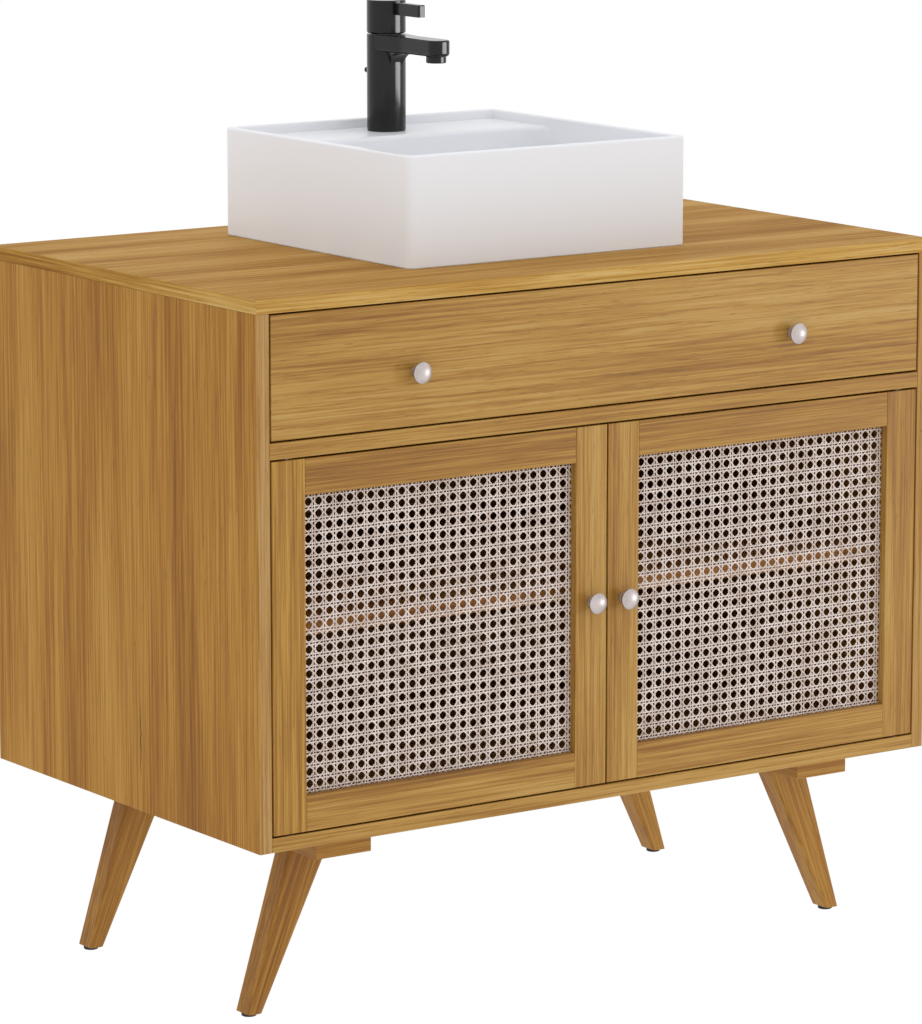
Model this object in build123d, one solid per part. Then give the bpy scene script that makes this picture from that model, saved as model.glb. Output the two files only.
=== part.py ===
"""Bathroom vanity with a square vessel basin and a single-lever mixer tap, modelled as an assembly.

Frame: millimetres, +X to the right, +Y to the back, +Z up. The origin is under the middle of the
bounding box, on the floor. Each piece is a solid of its own, and each node is one STEP file.
"""
from build123d import *
import math
import os

os.makedirs("parts", exist_ok=True)

# ---- driving dimensions -------------------------------------------------------------------
WIDTH = 870.0            # cabinet
DEPTH = 530.0
BODY_HEIGHT = 567.0      # from the underside of the floor panel to the top surface
BASE_HEIGHT = 200.0      # legs, glides and leg rails
PANEL = 15.0             # board of the carcass
FRONT_BOARD = 18.0       # doors and drawer front
GAP = 2.0                # joint around doors and drawer front
RAIL_HEIGHT = 17.0       # rail between drawer and doors
DRAWER_FRONT_HEIGHT = 127.0
KNOB_REACH = 18.0        # how far the knobs stand proud
GROOVE = 6.0             # grooves that hold thin panels
EASE = 0.7               # sanded edges

BASIN = 360.0            # square basin
BASIN_HEIGHT = 118.0
BASIN_WALL = 9.0
BASIN_FRONT = 104.0      # from the cabinet's front plane to the basin's front wall
DECK_DROP = 10.0         # tap deck below the rim
TAP_FROM_BACK = 50.0     # tap axis to the basin's back
TAP_RADIUS = 21.5
TAP_BODY_HEIGHT = 106.5
DRAWER_TRAVEL = 380.0

# ---- levels and planes --------------------------------------------------------------------
HALF = WIDTH / 2
FRONT = -(DEPTH - KNOB_REACH) / 2          # front plane of the cabinet
BACK = FRONT + DEPTH
FLOOR_Z = BASE_HEIGHT
TOP_Z = BASE_HEIGHT + BODY_HEIGHT          # upper face of the top panel
UNDER_TOP = TOP_Z - PANEL
INNER = HALF - PANEL                       # inner face of a side panel
RAIL_TOP = UNDER_TOP - DRAWER_FRONT_HEIGHT - 2 * GAP
RAIL_Z = RAIL_TOP - RAIL_HEIGHT
DOOR_TOP = RAIL_Z - GAP
DOOR_BOTTOM = FLOOR_Z + PANEL + GAP
DOOR_HEIGHT = DOOR_TOP - DOOR_BOTTOM
DOOR_WIDTH = INNER - GAP - GAP / 2
BACK_PANEL_Y = BACK - 16.0
BACK_PANEL = 6.0
SCREW_R = 2.0
LEFT, RIGHT = -1, 1


def box(x0, x1, y0, y1, z0, z1):
    """A box between two corners."""
    size = (abs(x1 - x0), abs(y1 - y0), abs(z1 - z0))
    return Pos((x0 + x1) / 2, (y0 + y1) / 2, (z0 + z1) / 2) * Box(*size)


def rod(start, end, radius):
    """A cylinder between two points."""
    start, end = Vector(*start), Vector(*end)
    plane = Plane(origin=(start + end) / 2, z_dir=end - start)
    return plane * Cylinder(radius, (end - start).length)


def turned(profile, centre):
    """A solid of revolution about a vertical line, from (radius, height) points."""
    face = make_face(Plane.XZ * Polyline(*profile, close=True))
    return Pos(*centre) * revolve(face, Axis.Z, 360)


def ring(x, y, z0, z1, outer, inner):
    """A flat vertical ring or tube."""
    return rod((x, y, z0), (x, y, z1), outer) - rod((x, y, z0 - 1), (x, y, z1 + 1), inner)


def board(x0, x1, y0, y1, z0, z1):
    """A box with its edges sanded round."""
    solid = box(x0, x1, y0, y1, z0, z1)
    return fillet(solid.edges(), EASE)


def soften(solid, radius, chosen):
    """Rounds the chosen edges of a solid."""
    return fillet(chosen(solid.edges()), radius)


def save(name, *solids):
    """Writes one node: its solids stay separate."""
    kept = [s for shape in solids for s in shape.solids()]
    export_step(kept[0] if len(kept) == 1 else Compound(children=kept), f"parts/{name}.step")


# ---- carcass ------------------------------------------------------------------------------
BASIN_Y = FRONT + BASIN_FRONT + BASIN / 2  # drain axis, the basin's middle
TAP_Y = BASIN_Y + BASIN / 2 - TAP_FROM_BACK
DRAIN_HOLE_R = 24.0
HOSE_HOLE_R = 32.0
HOSE_HOLE_FORWARD = 12.0                   # hose hole before the tap axis
RAIL_DEPTH = 100.0
WALL_SCREW_X = 250.0
WALL_SCREW_R = 4.0
WALL_SCREW_DROP = 40.0                     # wall screws below the top panel
REAR_RAIL_HEIGHT = 100.0
SHELF_Z = 412.0
SHELF_SETBACK = 34.0                       # clears the heel of an opening door
SHELF_PLAY = 1.0
CAM_R, CAM_DEPTH, CAM_INSET = 7.5, 12.5, 34.0
CAM_BOLT_R, CAM_BOLT_BITE, CAM_GRIP = 3.0, 11.0, 3.0
CAM_Y = (FRONT + 50.0, BACK - 50.0)
PIVOT_INSET = 22.0                         # door pivot from the door's edge
PIVOT_BEHIND = 8.0                         # door pivot behind the front plane
PIN_R, PIN_CLEARANCE, PIN_LENGTH = 3.0, 0.05, 12.0
BUSH_R, BUSH_LENGTH = 5.0, 12.0
BUSH_FLANGE_R, BUSH_FLANGE = 7.0, 0.8
PIVOT_X = INNER - GAP - PIVOT_INSET
PIVOT_Y = FRONT + PIVOT_BEHIND
PIN_R_SHELF, PIN_DEPTH, PIN_OUT = 2.5, 8.0, 10.0
SHELF_PIN_Y = (FRONT + 90.0, BACK - 70.0)


def cam_pairs():
    """Each cam with its bolt: side panels to the top, and floor panel to the sides."""
    cams, bolts = [], []
    for side in (LEFT, RIGHT):
        for y in CAM_Y:
            z = UNDER_TOP - CAM_INSET
            cams.append(rod((side * INNER, y, z), (side * (INNER + CAM_DEPTH), y, z), CAM_R))
            x = side * (INNER + PANEL / 2)
            bolts.append(rod((x, y, z + CAM_GRIP), (x, y, UNDER_TOP + CAM_BOLT_BITE), CAM_BOLT_R))
            x = INNER - CAM_INSET
            cams.append(rod((side * x, y, FLOOR_Z), (side * x, y, FLOOR_Z + CAM_DEPTH), CAM_R))
            z = FLOOR_Z + PANEL / 2
            start, end = (side * (x + CAM_GRIP), y, z), (side * (INNER + CAM_BOLT_BITE), y, z)
            bolts.append(rod(start, end, CAM_BOLT_R))
    return [cam - bolt for cam, bolt in zip(cams, bolts)], bolts


def cut_all(solid, tools):
    """Cuts every tool whose box meets the solid."""
    return solid - [t for t in tools if t.bounding_box().overlaps(solid.bounding_box())]


def shelf_pin_solids():
    z = SHELF_Z - PIN_R_SHELF
    return [
        rod((side * (INNER + PIN_DEPTH), y, z), (side * (INNER - PIN_OUT), y, z), PIN_R_SHELF)
        for side in (LEFT, RIGHT)
        for y in SHELF_PIN_Y
    ]


def carcass(floor_screws):
    """Panels, rails and shelf, each drilled for what it holds."""
    cams, bolts = cam_pairs()
    pins = shelf_pin_solids()
    bush_holes = [
        rod((side * PIVOT_X, PIVOT_Y, z), (side * PIVOT_X, PIVOT_Y, z + BUSH_LENGTH), BUSH_R)
        for side in (LEFT, RIGHT)
        for z in (RAIL_Z, FLOOR_Z + PANEL - BUSH_LENGTH)
    ]
    drain_hole = rod((0, BASIN_Y, UNDER_TOP - 1), (0, BASIN_Y, TOP_Z + 1), DRAIN_HOLE_R)
    hose_y = TAP_Y - HOSE_HOLE_FORWARD
    hose_hole = rod((0, hose_y, UNDER_TOP - 1), (0, hose_y, TOP_Z + 1), HOSE_HOLE_R)
    top = board(-HALF, HALF, FRONT, BACK, UNDER_TOP, TOP_Z) - drain_hole - hose_hole
    save("top_panel", cut_all(top, bolts))
    for side, name in ((LEFT, "left"), (RIGHT, "right")):
        panel = board(side * INNER, side * HALF, FRONT, BACK, FLOOR_Z, UNDER_TOP)
        groove = box(side * INNER, side * (INNER + GROOVE), BACK_PANEL_Y, BACK_PANEL_Y + BACK_PANEL,
                     FLOOR_Z + PANEL, UNDER_TOP)
        save(f"{name}_side_panel", cut_all(panel - groove, cams + bolts + pins))
    floor_panel = board(-INNER, INNER, FRONT, BACK, FLOOR_Z, FLOOR_Z + PANEL)
    save("bottom_panel", cut_all(floor_panel, cams + bolts + bush_holes + floor_screws))
    rail = board(-INNER, INNER, FRONT, FRONT + RAIL_DEPTH, RAIL_Z, RAIL_TOP)
    save("drawer_rail", cut_all(rail, bush_holes))
    wall_z = UNDER_TOP - WALL_SCREW_DROP
    wall_holes = [
        rod((x, BACK_PANEL_Y - 2 * PANEL, wall_z), (x, BACK, wall_z), WALL_SCREW_R)
        for x in (-WALL_SCREW_X, WALL_SCREW_X)
    ]
    rear = box(-INNER, INNER, BACK_PANEL_Y - PANEL, BACK_PANEL_Y, UNDER_TOP - REAR_RAIL_HEIGHT, UNDER_TOP)
    save("rear_rail", rear - wall_holes)
    back = box(-INNER - GROOVE, INNER + GROOVE, BACK_PANEL_Y, BACK_PANEL_Y + BACK_PANEL,
               FLOOR_Z + PANEL, UNDER_TOP)
    save("back_panel", back - wall_holes)
    shelf_x = INNER - SHELF_PLAY
    shelf_y = (FRONT + SHELF_SETBACK, BACK_PANEL_Y - SHELF_PLAY)
    save("shelf", board(-shelf_x, shelf_x, *shelf_y, SHELF_Z, SHELF_Z + PANEL))
    save("shelf_pins", *pins)
    save("cam_fittings", *cams, *bolts)


def pivot_bushes():
    """Flanged bushes for the door pins, two in the rail and two in the floor panel."""
    bushes = []
    for side in (LEFT, RIGHT):
        for face, away in ((RAIL_Z, 1), (FLOOR_Z + PANEL, -1)):
            def upright(start, end, radius):
                x = side * PIVOT_X
                return rod((x, PIVOT_Y, face + away * start), (x, PIVOT_Y, face + away * end), radius)

            body = upright(0, BUSH_LENGTH, BUSH_R) + upright(-BUSH_FLANGE, 0, BUSH_FLANGE_R)
            bushes.append(body - upright(-2 * BUSH_FLANGE, PIN_LENGTH - 1, PIN_R + PIN_CLEARANCE))
    save("door_pivot_bushes", *bushes)


# ---- base ---------------------------------------------------------------------------------
RAIL_WIDTH, RAIL_THICK = 68.0, 23.0
LEG_RAIL_X = HALF - 120.0                  # middle of a leg rail, which is the middle of a leg's top
LEG_RAIL_SETBACK = 28.0
FOOT_X = HALF - 51.0
LEG_Y = (FRONT + 104.0, BACK - 104.0)
LEG_TOP_WIDTH, LEG_FOOT_WIDTH, LEG_THICK = 50.0, 17.0, 28.0
LEG_EDGE = 4.0
GLIDE_R, GLIDE_HEIGHT, GLIDE_EDGE = 8.0, 4.0, 1.2
SCREW_SPREAD, SCREW_UP = 45.0, 11.0        # rail screws: from the leg, and into the floor panel
SCREW_HEAD_R, SCREW_HEAD = 4.0, 1.6
LEG_BOLT_R, LEG_BOLT_UP, LEG_BOLT_DOWN = 4.0, 18.0, 40.0


def leg(side, y):
    """A flat tapered leg, splayed sideways, with rounded long edges."""
    z_top, z_foot = FLOOR_Z - RAIL_THICK, GLIDE_HEIGHT
    outline = [
        (side * (LEG_RAIL_X - LEG_TOP_WIDTH / 2), z_top),
        (side * (LEG_RAIL_X + LEG_TOP_WIDTH / 2), z_top),
        (side * (FOOT_X + LEG_FOOT_WIDTH / 2), z_foot),
        (side * (FOOT_X - LEG_FOOT_WIDTH / 2), z_foot),
    ]
    face = make_face(Plane.XZ * Polyline(*outline, close=True))
    solid = Pos(0, y, 0) * extrude(face, LEG_THICK / 2, both=True)
    return soften(solid, LEG_EDGE, lambda e: e.filter_by(lambda x: x.length > 2 * LEG_TOP_WIDTH))


def base():
    """Two rails under the floor panel, four splayed legs, their fixings and glides."""
    rails = [
        board(side * (LEG_RAIL_X - RAIL_WIDTH / 2), side * (LEG_RAIL_X + RAIL_WIDTH / 2),
              FRONT + LEG_RAIL_SETBACK, BACK - LEG_RAIL_SETBACK, FLOOR_Z - RAIL_THICK, FLOOR_Z)
        for side in (LEFT, RIGHT)
    ]
    # One screw behind and one before each leg holds the rail, and a bolt holds each leg.
    screws, bolts, legs = [], [], {}
    z = FLOOR_Z - RAIL_THICK
    for side, side_name in ((LEFT, "left"), (RIGHT, "right")):
        x = side * LEG_RAIL_X
        for row, y in zip(("front", "back"), LEG_Y):
            for step in (-SCREW_SPREAD, SCREW_SPREAD):
                shank = rod((x, y + step, z), (x, y + step, FLOOR_Z + SCREW_UP), SCREW_R)
                head = rod((x, y + step, z), (x, y + step, z - SCREW_HEAD), SCREW_HEAD_R)
                screws.append(shank + head)
            bolt = rod((x, y, z - LEG_BOLT_DOWN), (x, y, z + LEG_BOLT_UP), LEG_BOLT_R)
            bolts.append(bolt)
            legs[(side_name, row)] = leg(side, y) - bolt
    for (side_name, row), solid in legs.items():
        save(f"{row}_{side_name}_leg", solid)
    save("leg_rails", *[cut_all(r, screws + bolts) for r in rails])
    save("base_screws", *screws, *bolts)
    glides = [
        soften(rod((side * FOOT_X, y, 0), (side * FOOT_X, y, GLIDE_HEIGHT), GLIDE_R), GLIDE_EDGE,
               lambda e: e.group_by(Axis.Z)[0])
        for side in (LEFT, RIGHT)
        for y in LEG_Y
    ]
    save("foot_glides", *glides)
    return screws


# ---- knobs --------------------------------------------------------------------------------
KNOB_R = 11.0
KNOB_NECK_R = 4.0
KNOB_FOOT_R, KNOB_FOOT = 6.0, 1.5
KNOB_HEAD = 9.0                            # thickness of the head, with its dome
KNOB_DOME = 4.5
KNOB_UNDER_R = 3.0                         # rounding under the head
KNOB_FLARE_R, KNOB_FLARE = 7.5, 3.0        # the neck widens into the head
KNOB_BORE = 9.0                            # depth of the screw hole
KNOB_SCREW_HEAD_R, KNOB_SCREW_HEAD = 4.0, 2.4
DOOR_KNOB_Z = TOP_Z - 352.0
DRAWER_KNOB_X = 243.5
DRAWER_KNOB_Z = TOP_Z - 88.0


def knob(x, z):
    """A mushroom knob on the front plane, drilled for its screw from behind."""
    under = KNOB_REACH - KNOB_HEAD
    foot = rod((0, 0, 0), (0, 0, KNOB_FOOT), KNOB_FOOT_R)
    neck = rod((0, 0, KNOB_FOOT), (0, 0, under), KNOB_NECK_R)
    flare = Pos(0, 0, under - KNOB_FLARE / 2) * Cone(KNOB_NECK_R, KNOB_FLARE_R, KNOB_FLARE)
    head = rod((0, 0, under), (0, 0, KNOB_REACH), KNOB_R)
    dome_r = (KNOB_R**2 + KNOB_DOME**2) / (2 * KNOB_DOME)
    head &= Pos(0, 0, KNOB_REACH - dome_r) * Sphere(dome_r)
    head = fillet(head.edges().group_by(Axis.Z)[0], KNOB_UNDER_R)
    solid = foot + neck + flare + head - rod((0, 0, -1), (0, 0, KNOB_BORE), SCREW_R)
    return Pos(x, FRONT, z) * Rot(X=90) * solid


def knob_screw(x, z, thickness):
    """A pan-head screw through a board into the knob."""
    behind = FRONT + thickness
    shank = rod((x, FRONT - KNOB_BORE, z), (x, behind, z), SCREW_R)
    head = rod((x, behind, z), (x, behind + KNOB_SCREW_HEAD, z), KNOB_SCREW_HEAD_R)
    return shank + soften(head, 1.0, lambda e: e.group_by(Axis.Y)[-1])


# ---- doors --------------------------------------------------------------------------------
STILE = 40.0
DOOR_RAIL = 37.5
CANE_SETBACK = 9.0                         # cane behind the door's front face
CANE = 2.0
REBATE = 8.0
PIN_ROOT = 15.0                            # door pin inside the stile
TENON, TENON_DEPTH, TENON_FRONT, TENON_SHOULDER = 6.0, 10.0, 1.5, 8.0
STRIKE_INSET, STRIKE_LENGTH, STRIKE_Z, STRIKE = 2.0, 36.0, (12.0, 1.0), 1.0
CATCH_LENGTH, CATCH_DEPTH, CATCH_HEIGHT = 46.0, 14.0, 13.0
CATCH_BEHIND = 1.5                         # catch behind the closed door, past its strike
MAGNET_INSET, MAGNET_LIP = 8.0, 2.0


def door(side, name):
    """A framed door: two stiles, two rails with stub tenons, a cane panel and its beads."""
    x_hinge = side * (INNER - GAP)
    x_latch = side * GAP / 2
    y0, y1 = FRONT, FRONT + FRONT_BOARD
    inner_hinge, inner_latch = x_hinge - side * STILE, x_latch + side * STILE
    opening_z = (DOOR_BOTTOM + DOOR_RAIL, DOOR_TOP - DOOR_RAIL)
    rebate_x = (inner_hinge + side * REBATE, inner_latch - side * REBATE)
    rebate_z = (opening_z[0] - REBATE, opening_z[1] + REBATE)
    rebate = box(*rebate_x, y0 + CANE_SETBACK, y1 + 1, *rebate_z)
    pins = []
    for edge, away in ((DOOR_TOP, 1), (DOOR_BOTTOM, -1)):
        root = (side * PIVOT_X, PIVOT_Y, edge - away * PIN_ROOT)
        tip = (side * PIVOT_X, PIVOT_Y, edge + away * PIN_LENGTH)
        pins.append(rod(root, tip, PIN_R))
    tenon_x = (inner_hinge + side * TENON_DEPTH, inner_latch - side * TENON_DEPTH)
    tenon_y = (y0 + TENON_FRONT, y0 + TENON_FRONT + TENON)
    rails = []
    for z0, z1 in ((DOOR_BOTTOM, opening_z[0]), (opening_z[1], DOOR_TOP)):
        body = board(inner_hinge, inner_latch, y0, y1, z0, z1)
        tenons = box(*tenon_x, *tenon_y, z0 + TENON_SHOULDER, z1 - TENON_SHOULDER)
        rails.append(body + tenons - rebate)
    screw = knob_screw(x_latch + side * STILE / 2, DOOR_KNOB_Z, FRONT_BOARD)
    stiles = {
        "hinge": board(x_hinge, inner_hinge, y0, y1, DOOR_BOTTOM, DOOR_TOP),
        "latch": board(x_latch, inner_latch, y0, y1, DOOR_BOTTOM, DOOR_TOP),
    }
    for which, stile in stiles.items():
        save(f"{name}_door_{which}_stile", cut_all(stile - rebate, rails + pins + [screw]))
    save(f"{name}_door_rails", *rails)
    y_cane = y0 + CANE_SETBACK
    save(f"{name}_door_cane", box(*rebate_x, y_cane, y_cane + CANE, *rebate_z))
    beads = [
        box(rebate_x[0], inner_hinge, y_cane + CANE, y1, *rebate_z),
        box(rebate_x[1], inner_latch, y_cane + CANE, y1, *rebate_z),
        box(inner_hinge, inner_latch, y_cane + CANE, y1, rebate_z[0], opening_z[0]),
        box(inner_hinge, inner_latch, y_cane + CANE, y1, opening_z[1], rebate_z[1]),
    ]
    save(f"{name}_door_beads", *beads)
    save(f"{name}_door_knob", knob(x_latch + side * STILE / 2, DOOR_KNOB_Z))
    strike_x = x_latch + side * STRIKE_INSET
    low, high = (DOOR_TOP - drop for drop in STRIKE_Z)
    strike = box(strike_x, strike_x + side * STRIKE_LENGTH, y1, y1 + STRIKE, low, high)
    save(f"{name}_door_fittings", *pins, strike, screw)


def catches():
    """Magnetic catches under the rail, just behind the doors."""
    solids = []
    y0 = FRONT + FRONT_BOARD + CATCH_BEHIND
    low = RAIL_Z - CATCH_HEIGHT
    for side in (LEFT, RIGHT):
        x0 = side * GAP
        x1 = x0 + side * CATCH_LENGTH
        case = box(x0, x1, y0 + 1, y0 + CATCH_DEPTH, low, RAIL_Z)
        inset = side * MAGNET_INSET
        magnet = box(x0 + inset, x1 - inset, y0, y0 + 1, low + MAGNET_LIP, RAIL_Z - MAGNET_LIP)
        solids.append(case + magnet)
    save("magnetic_catches", *solids)


# ---- drawer -------------------------------------------------------------------------------
SLIDE = 12.5                               # thickness of a ball-bearing slide
SLIDE_LENGTH = 450.0
SLIDE_Z = RAIL_TOP + 60.0
SHEET = 1.2
# Slide members: flanges' start and end, web's place, half height.
CABINET_MEMBER = (0, 10.0, 0, 22.5)
MIDDLE_MEMBER = (3.0, 10.5, 3.0, 20.0)
DRAWER_MEMBER = (6.0, SLIDE, SLIDE - SHEET, 15.0)
MIDDLE_SHORT = 5.0                         # the middle members are this much shorter at each end
BOX_BOARD = 12.0
BOX_HALF = INNER - SLIDE                   # outer face of a drawer side
BOX_Z = (RAIL_TOP + 10.0, RAIL_TOP + 105.0)
BOX_Y = (FRONT + FRONT_BOARD, FRONT + FRONT_BOARD + SLIDE_LENGTH)
BOTTOM_Z = BOX_Z[0] + 10.0
BOTTOM_BOARD = 6.0
WELL_HALF = 55.0                           # clear half width of the well around the plumbing
WELL_FRONT = BASIN_Y - 50.0


def drawer():
    """The drawer with a well, open at the back, that passes the waste and the hoses."""
    face_x = INNER - GAP
    drill = [knob_screw(x, DRAWER_KNOB_Z, FRONT_BOARD) for x in (-DRAWER_KNOB_X, DRAWER_KNOB_X)]
    z0 = RAIL_TOP + GAP
    front = board(-face_x, face_x, FRONT, BOX_Y[0], z0, z0 + DRAWER_FRONT_HEIGHT)
    bottom_half = BOX_HALF - GROOVE
    bottom_z = (BOTTOM_Z, BOTTOM_Z + BOTTOM_BOARD)
    bottom = box(-bottom_half, bottom_half, BOX_Y[0] - GROOVE, BOX_Y[1], *bottom_z)
    bottom -= box(-WELL_HALF, WELL_HALF, WELL_FRONT, BOX_Y[1] + 1, 0, TOP_Z)
    save("drawer_bottom", bottom)
    save("drawer_front", cut_all(front, drill + [bottom]))
    save("drawer_knobs", *[knob(x, DRAWER_KNOB_Z) for x in (-DRAWER_KNOB_X, DRAWER_KNOB_X)])
    save("drawer_knob_screws", *drill)
    sides = [
        box(side * BOX_HALF, side * (BOX_HALF - BOX_BOARD), *BOX_Y, *BOX_Z) - bottom
        for side in (LEFT, RIGHT)
    ]
    save("drawer_sides", *sides)
    inside = BOX_HALF - BOX_BOARD
    above = (BOTTOM_Z + BOTTOM_BOARD, BOX_Z[1])
    well_outer = WELL_HALF + BOX_BOARD
    backs = [
        box(side * well_outer, side * inside, BOX_Y[1] - BOX_BOARD, BOX_Y[1], *above)
        for side in (LEFT, RIGHT)
    ]
    save("drawer_back", *backs)
    walls = [
        box(side * WELL_HALF, side * well_outer, WELL_FRONT - BOX_BOARD, BOX_Y[1], *above)
        for side in (LEFT, RIGHT)
    ]
    walls.append(box(-WELL_HALF, WELL_HALF, WELL_FRONT - BOX_BOARD, WELL_FRONT, *above))
    save("drawer_well", *walls)


def channel(side, member, y0, y1):
    """One slide member of sheet: a web with flanges, all measured from the side panel's face."""
    u0, u1, web, half_height = member
    face = side * INNER
    x0, x1 = face - side * u0, face - side * u1
    web_x = face - side * web
    body = box(web_x, web_x - side * SHEET, y0, y1, SLIDE_Z - half_height, SLIDE_Z + half_height)
    for up in (-1, 1):
        edge = SLIDE_Z + up * half_height
        body += box(x0, x1, y0, y1, edge, edge - up * SHEET)
    return body


def slides():
    """Three-part slides: fixed, middle and drawer members on both sides."""
    y0, y1 = BOX_Y
    save("cabinet_slide_members", *[channel(side, CABINET_MEMBER, y0, y1) for side in (LEFT, RIGHT)])
    middle = [channel(side, MIDDLE_MEMBER, y0 + MIDDLE_SHORT, y1 - MIDDLE_SHORT) for side in (LEFT, RIGHT)]
    save("middle_slide_members", *middle)
    save("drawer_slide_members", *[channel(side, DRAWER_MEMBER, y0, y1) for side in (LEFT, RIGHT)])


# ---- basin --------------------------------------------------------------------------------
BOWL_FLOOR = TOP_Z + 20.0
RIM_Z = TOP_Z + BASIN_HEIGHT
DECK_Z = RIM_Z - DECK_DROP
DECK_DEPTH = 100.0                         # bowl's back edge to the basin's back
CERAMIC = 10.0                             # floor and deck thickness
TAP_HOLE_R = 17.5
WASTE_HOLE_R = 23.0
SEAL = 1.0
BASIN_CORNER_R, RECESS_CORNER_R = 9.0, 6.0
BOWL_BACK_CORNER_R, BOWL_FLOOR_R, DECK_EDGE_R, RIM_EDGE_R = 24.0, 5.5, 5.0, 2.2
WASTE_BOSS_R = 38.0


def basin():
    """A hollow square basin with a thin rim, a bowl and a tap deck behind it."""
    half = BASIN / 2
    y0, y1 = BASIN_Y - half, BASIN_Y + half
    inner = half - BASIN_WALL
    bowl_back = y1 - DECK_DEPTH
    body = box(-half, half, y0, y1, TOP_Z + SEAL, RIM_Z)
    body = soften(body, BASIN_CORNER_R, lambda e: e.filter_by(Axis.Z))
    recess = box(-inner, inner, y0 + BASIN_WALL, y1 - BASIN_WALL, DECK_Z, RIM_Z + 1)
    recess = soften(recess, RECESS_CORNER_R, lambda e: e.filter_by(Axis.Z))
    bowl = box(-inner, inner, y0 + BASIN_WALL, bowl_back, BOWL_FLOOR, DECK_Z + 1)
    bowl = soften(bowl, RECESS_CORNER_R, lambda e: e.filter_by(Axis.Z).group_by(Axis.Y)[0])
    bowl = soften(bowl, BOWL_BACK_CORNER_R, lambda e: e.filter_by(Axis.Z).group_by(Axis.Y)[-1])
    bowl = soften(bowl, BOWL_FLOOR_R, lambda e: e.group_by(Axis.Z)[0])
    body = body - recess - bowl
    deck_edges = body.edges().filter_by(lambda e: abs(e.center().Z - DECK_Z) < 0.1)
    near_bowl = BOWL_BACK_CORNER_R / 2
    front_of_deck = deck_edges.filter_by(lambda e: abs(e.center().Y - bowl_back) < near_bowl and e.length > 4)
    body = fillet(front_of_deck, DECK_EDGE_R)
    rim_edges = body.edges().group_by(Axis.Z)[-1]
    body = fillet(rim_edges, RIM_EDGE_R)
    under_floor = box(-inner, inner, y0 + BASIN_WALL, y1 - BASIN_WALL, TOP_Z, BOWL_FLOOR - CERAMIC)
    boss = rod((0, BASIN_Y, TOP_Z), (0, BASIN_Y, BOWL_FLOOR), WASTE_BOSS_R)
    under_deck = box(-inner, inner, bowl_back + CERAMIC, y1 - BASIN_WALL, TOP_Z, DECK_Z - CERAMIC)
    body = body - (under_floor - boss) - under_deck
    body -= rod((0, BASIN_Y, TOP_Z), (0, BASIN_Y, RIM_Z), WASTE_HOLE_R)
    body -= rod((0, TAP_Y, DECK_Z - CERAMIC - 5), (0, TAP_Y, RIM_Z), TAP_HOLE_R)
    save("basin", body)
    bead = box(-half + 1, half - 1, y0 + 1, y1 - 1, TOP_Z, TOP_Z + SEAL)
    bead = soften(bead, BASIN_CORNER_R - 1, lambda e: e.filter_by(Axis.Z))
    save("basin_seal", bead - box(-inner, inner, y0 + BASIN_WALL, y1 - BASIN_WALL, 0, RIM_Z))


# ---- waste --------------------------------------------------------------------------------
WASTE_R = 21.0                             # threaded body
WASTE_BORE_R = 17.0
FLANGE_R, FLANGE = 32.0, 2.5
WASTE_BOTTOM = UNDER_TOP - 55.0
TAIL_R, TAIL_BORE_R = 16.0, 14.0
TAIL_LENGTH = 110.0
PIVOT_LEVEL = UNDER_TOP - 37.0             # ball of the pop-up lever
LEVER_R = 2.5
BALL_Y = BASIN_Y + WASTE_R + 1.0
LEVER_TILT = 10.65                         # at rest the outer end hangs this many degrees low
LEVER_INNER, LEVER_OUTER = 28.0, 92.0
STEM_ABOVE_LEVER = 8.0
PLUG_R, PLUG, PLUG_EDGE, PLUG_LIFT = 29.0, 3.5, 1.6, 8.0   # the plug stands open by its lift
PLUG_STEM_R, PLUG_WING, PLUG_WING_HEIGHT = 4.0, 2.0, 18.0
PLUG_CLEARANCE = 0.4
GASKET, GASKET_R = 1.0, 31.0
WASHER, WASHER_R = 3.0, 30.0
NUT_R, NUT_TOP, NUT = 29.0, 3.0, 9.0
PORT_R, PORT_REACH = 8.0, 9.0              # the lever's port on the body
PORT_NARROW, PORT_WIDE, PORT_CONE = 3.0, 7.5, 16.0
TAIL_SOCKET = 8.0                          # tailpiece inside the body


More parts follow.
